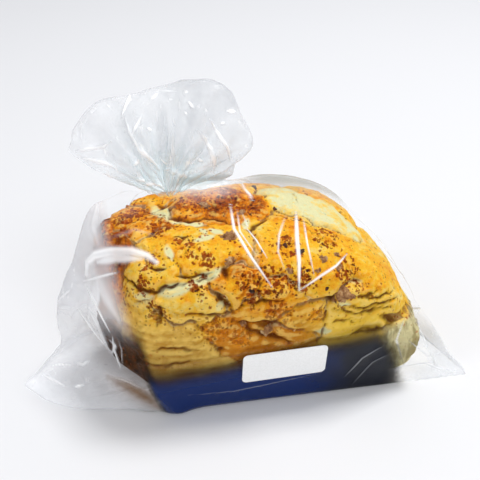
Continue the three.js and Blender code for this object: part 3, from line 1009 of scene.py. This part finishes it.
def crust_finish():
    f = Finish("toasted_crust")
    brown, flecked, side = f.attribute("browning"), f.attribute("flecked"), f.attribute("side")
    hollow = f.attribute("hollow")
    patches = f.noise(20, detail=4, shift=3.0)
    mottle = f.noise(5, detail=6, roughness=0.7, shift=9.0)
    pale = f.step(f.sum(f.attribute("pale"), (mottle, 0.6)), 0.45, 0.95)
    pale_seam = f.times(f.step(f.sum(f.attribute("seam"), (mottle, 0.9)), 0.8, 1.25), 0.5)
    toast = f.sum(brown, (patches, 0.9), (mottle, 1.05), (flecked, 0.04), -0.985)
    top = f.ramp(toast, TOASTING)
    x, _, z = f.node("ShaderNodeSeparateXYZ", {0: f.place}).outputs
    doughy = f.noise(5, detail=4, shift=21.0, stretch=(3, 3, 1.1))
    # The side crust is darker tan in random patches, and in its hollows as painted shade
    lower = f.mix(f.step(f.sum((doughy, 0.5), (patches, 0.6), (hollow, -0.5)), 0.1, 0.46), DARK_TAN_AND_SHADE, TAN)
    lower = f.mix(f.times(f.step(f.sum(brown, (patches, 0.3)), 0.56, 0.74), 0.85), lower, SIDE_BROWN)
    # Painted light: the side crust goes paler yellow towards the right, where the light falls
    lower = f.mix(f.times(f.step(x, 0.02, 0.07), 0.75), lower, PAINTED_SIDE_LIGHT)
    colour = f.mix(f.times(side, f.sum(1.0, (flecked, -0.7))), top, lower)
    colour = f.mix(f.larger(pale, pale_seam), colour, CREAM)
    # Painted shade: the crust goes darker brown in its hollows
    colour = f.mix(f.times(f.step(hollow, 0.56, 0.85), 0.7), colour, PAINTED_HOLLOW_SHADE)
    # Painted highlight: the crust goes paler yellow on its ridges
    colour = f.mix(f.times(f.step(f.sum((hollow, -1.0), 1.0), 0.53, 0.72), 0.5), colour, PAINTED_RIDGE_HIGHLIGHT)
    # Painted shade: the crust is darker on its low front left
    shaded_left_foot = f.times(f.step(x, -0.005, -0.05), f.step(z, 0.08, 0.035))
    colour = f.mix(f.times(shaded_left_foot, 0.55), colour, PAINTED_FOOT_SHADE)
    # The left end is dark brown: its own dark-toasted crust, with painted shade over it
    baked_and_shaded = f.mix(f.step(mottle, 0.4, 0.62), *BURNT_AND_SHADED_END)
    colour = f.mix(f.times(f.attribute("left_end"), 0.97), colour, baked_and_shaded)
    streaks = f.step(f.noise(6, detail=4, shift=61.0, stretch=(1, 1, 3)), 0.4, 0.55)
    crumb = f.mix(streaks, *CRUMB)
    colour = f.mix(f.times(f.attribute("right_end"), 0.9), colour, crumb)
    # Small dark flecks of toasted cheese, thickest in clusters
    scorched = f.step(f.sum(f.noise(3.6, detail=5, roughness=0.75, shift=13.0), (flecked, 0.11)), 0.62, 0.74)
    colour = f.mix(f.times(scorched, f.sum((brown, 0.75), (side, -0.3))), colour, RUSSET)
    everywhere = f.sum(f.times(f.step(brown, 0.1, 0.4), 0.42), (flecked, 0.52))
    for size, shift, share, tone in FLECKS:
        clusters = f.sum((f.noise(8, detail=3, roughness=0.65, shift=shift), 1.5), -0.28)
        spots = f.spots(size, shift, f.times(f.times(everywhere, clusters), 1.9 * share))
        colour = f.mix(f.times(spots, f.sum(0.92, (side, -0.4))), colour, tone)
    # The creases go dark: browner crust, and painted shade
    shadowed = f.times(f.step(f.attribute("crease"), 0.1, 0.9), f.sum(0.9, (side, -0.2)))
    colour = f.mix(shadowed, colour, CREASE_BROWN_AND_SHADE)
    f.set(Base_Color=colour, Roughness=f.sum(0.42, (mottle, 0.3)))
    f.shader.inputs["Specular IOR Level"].default_value = 0.05
    f.shader.inputs["Subsurface Weight"].default_value = 0.05
    f.shader.inputs["Subsurface Radius"].default_value = (0.003, 0.0015, 0.0007)
    f.bump(f.sum((mottle, 1.3), (patches, 0.8), (f.noise(1.2, detail=3, shift=5.0), 0.3)), 2.0)
    return f


def walnut_finish():
    f = Finish("walnut_kernel")
    patches, folds = f.noise(4, detail=4), f.noise(1.6, detail=3, shift=4.0)
    tones = [
        (0.3, srgb(62, 32, 16)),
        (0.46, srgb(126, 82, 48)),
        (0.6, srgb(170, 126, 82)),
        (0.8, srgb(216, 190, 142)),
    ]
    colour = f.ramp(f.sum((patches, 0.7), (folds, 0.4)), tones)
    f.set(Base_Color=colour, Roughness=0.55)
    f.shader.inputs["Specular IOR Level"].default_value = 0.15
    f.bump(folds, 0.4)
    return f


def fruit_finish():
    f = Finish("dark_fruit_skin")
    patches = f.noise(2.5, detail=3)
    f.set(Base_Color=f.ramp(patches, [(0.35, srgb(24, 16, 12)), (0.65, srgb(96, 52, 34))]), Roughness=0.35)
    f.shader.inputs["Specular IOR Level"].default_value = 0.15
    f.bump(f.noise(0.9, detail=3, shift=8.0), 0.3)
    return f


# The printed band along the foot of the front: its two ends, its solid height at each, and its fade above
BAND_ENDS = (-58.0, 100.0)
BAND_HEIGHTS = (22.0, 42.0)
BAND_FADE = 28.0
BAND_DROP = 26.0  # how much lower it is on the loaf's right foot
BAND_SLANT = 0.35  # how much its left edge leans out as it rises
BAND_BLUE, BAND_IN_SHADE = srgb(6, 36, 94), srgb(18, 22, 34)
BAND_FADED = srgb(24, 20, 20)

FILM_GREYS = (srgb(208, 211, 215), srgb(234, 236, 239))
PAINTED_LIGHT_LEFT_FILM = srgb(248, 249, 252)
GATHERED_FILM = srgb(224, 246, 250)
SHADED_SHOULDER_FILM = srgb(150, 154, 136)
NECK_FOLD_FILM = srgb(190, 202, 204)
PAINTED_LOAF_LIGHT_FILM = srgb(128, 90, 44)


def film_finish():
    f = Finish("clear_film")
    white, loose = f.step(f.attribute("white"), 0.05, 0.8), f.attribute("loose")
    x, y, z = f.node("ShaderNodeSeparateXYZ", {0: f.place}).outputs
    ends = {"Value": x, "From Min": BAND_ENDS[0] * MM, "From Max": BAND_ENDS[1] * MM}
    along_band = f.node("ShaderNodeMapRange", ends).outputs["Result"]
    solid = f.sum(BAND_HEIGHTS[0] * MM, (along_band, (BAND_HEIGHTS[1] - BAND_HEIGHTS[0]) * MM))
    solid = f.sum(solid, (f.step(x, 0.082, 0.102), -BAND_DROP * MM))
    printed = f.sum(1.0, (f.step(f.sum(z, (solid, -1.0)), 0.0, BAND_FADE * MM), -1.0))
    front = f.times(f.step(y, -0.026, -0.036), f.step(f.sum(x, (z, BAND_SLANT)), -0.063, -0.057))
    wander = f.noise(16, detail=3, shift=27.0)
    front = f.times(front, f.sum(1.0, (f.step(f.sum(x, (wander, 0.02)), 0.1, 0.122), -1.0)))
    printed = f.times(printed, front)
    edge = f.node("ShaderNodeLayerWeight", {"Blend": 0.35}).outputs["Facing"]
    mist, shoulder = f.attribute("mist"), f.attribute("shoulder")
    # Painted glints: thin white streaks on the loose film
    glint_mask = f.step(f.noise(4.0, detail=3, shift=12.0, stretch=(1, 1, 5)), 0.6, 0.72)
    glint_streak = f.times(glint_mask, f.times(loose, 0.8))
    shade = f.noise(30, detail=2, shift=17.0)
    haze_and_painted_light = f.mix(f.step(shade, 0.35, 0.65), *FILM_GREYS)
    # Painted light: the film goes whiter at the loaf's left end
    haze_and_painted_light = f.mix(f.times(f.step(x, -0.068, -0.09), 0.7), haze_and_painted_light, PAINTED_LIGHT_LEFT_FILM)
    haze_and_painted_light = f.mix(f.times(f.attribute("gathered"), 0.8), haze_and_painted_light, GATHERED_FILM)
    # Painted shade: the film is greyer where it stands off the loaf's far right shoulder
    haze_and_painted_light = f.mix(f.times(shoulder, 0.9), haze_and_painted_light, SHADED_SHOULDER_FILM)
    haze_and_painted_light = f.mix(f.times(f.attribute("neck_fold"), 0.9), haze_and_painted_light, NECK_FOLD_FILM)
    # Painted light: brown from the loaf's dark end on the film's fold below it
    haze_and_painted_light = f.mix(f.attribute("painted_loaf_light"), haze_and_painted_light, PAINTED_LOAF_LIGHT_FILM)
    # Painted glints: white along the creases and the glint streaks
    haze_and_painted_light = f.mix(f.larger(white, glint_streak), haze_and_painted_light, (1, 1, 1))
    # The print goes dark slate towards the loaf's right foot: painted shade of the loaf's lower side under
    # its overhang
    blue = f.mix(f.step(f.sum(x, (wander, 0.03)), 0.045, 0.085), BAND_BLUE, BAND_IN_SHADE)
    ink_and_shade = f.mix(f.step(printed, 0.3, 0.95), BAND_FADED, blue)
    inked = f.step(printed, 0.0, 0.06)
    colour = f.mix(f.times(inked, f.sum(1.0, (white, -0.5))), haze_and_painted_light, ink_and_shade)
    veil = f.times(edge, f.sum(0.03, loose))
    clear = f.sum((loose, 0.12), (f.attribute("gathered"), 0.38), (glint_streak, 0.15), (veil, 0.35), (mist, 0.36))
    clear = f.times(f.sum(clear, (shoulder, 0.26)), f.sum(1.0, (f.attribute("clearer"), -0.9)))
    clear = f.sum(clear, (white, 0.58), (f.attribute("painted_loaf_light"), 0.5), (f.attribute("neck_fold"), 0.4))
    f.set(Base_Color=colour, Alpha=f.larger(clear, f.times(printed, 0.94)), Roughness=0.16)
    f.shader.inputs["IOR"].default_value = 1.3
    f.bump(f.noise(7, detail=3, shift=2.0), 0.25)
    return f


def paper_finish():
    f = Finish("sticker_paper")
    white = f.ramp(f.noise(1.2), [(0.3, srgb(240, 240, 238)), (0.7, srgb(250, 250, 249))])
    f.set(Base_Color=white, Roughness=0.5)
    f.bump(f.noise(0.6, detail=2), 0.05)
    return f


crust_finish().put_on(loaf, "crust")
walnut_finish().put_on(walnuts, "walnut")
fruit_finish().put_on(fruit, "dried_fruit")
film_finish().put_on(film, "film")
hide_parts("bag")
film.visible_shadow = False
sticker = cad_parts["price_sticker"]
sticker.data.materials.clear()
sticker.data.materials.append(paper_finish().material)

# Floor and light

bpy.ops.mesh.primitive_plane_add(size=40)
floor = bpy.context.object
floor.name = "floor"
floor_finish = Finish("pale_floor")
floor_finish.set(Base_Color=(0.79, 0.795, 0.81, 1), Roughness=0.8)
floor.data.materials.append(floor_finish.material)

world = bpy.data.worlds.new("world")
bpy.context.scene.world = world
world.use_nodes = True
world.node_tree.nodes["Background"].inputs["Color"].default_value = (0.95, 0.96, 1.0, 1)
world.node_tree.nodes["Background"].inputs["Strength"].default_value = 0.5


def soft_light(name, place, size, power):
    data = bpy.data.lights.new(name, "AREA")
    data.shape = "RECTANGLE"
    data.size, data.size_y = size
    data.energy = power
    light = bpy.data.objects.new(name, data)
    bpy.context.collection.objects.link(light)
    light.location = place
    light.rotation_euler = (Vector(place) - Vector((0, 0, 0.08))).to_track_quat("Z", "Y").to_euler()


soft_light("key", (0.7, 0.3, 2.0), (0.6, 0.6), 27.0)
soft_light("window", (-1.8, -0.6, 1.2), (0.5, 1.2), 7.0)
soft_light("front", (0.6, -2.0, 1.4), (1.0, 0.6), 14.0)
bpy.context.scene.view_settings.view_transform = "Standard"
bpy.context.scene.cycles.transparent_max_bounces = 40
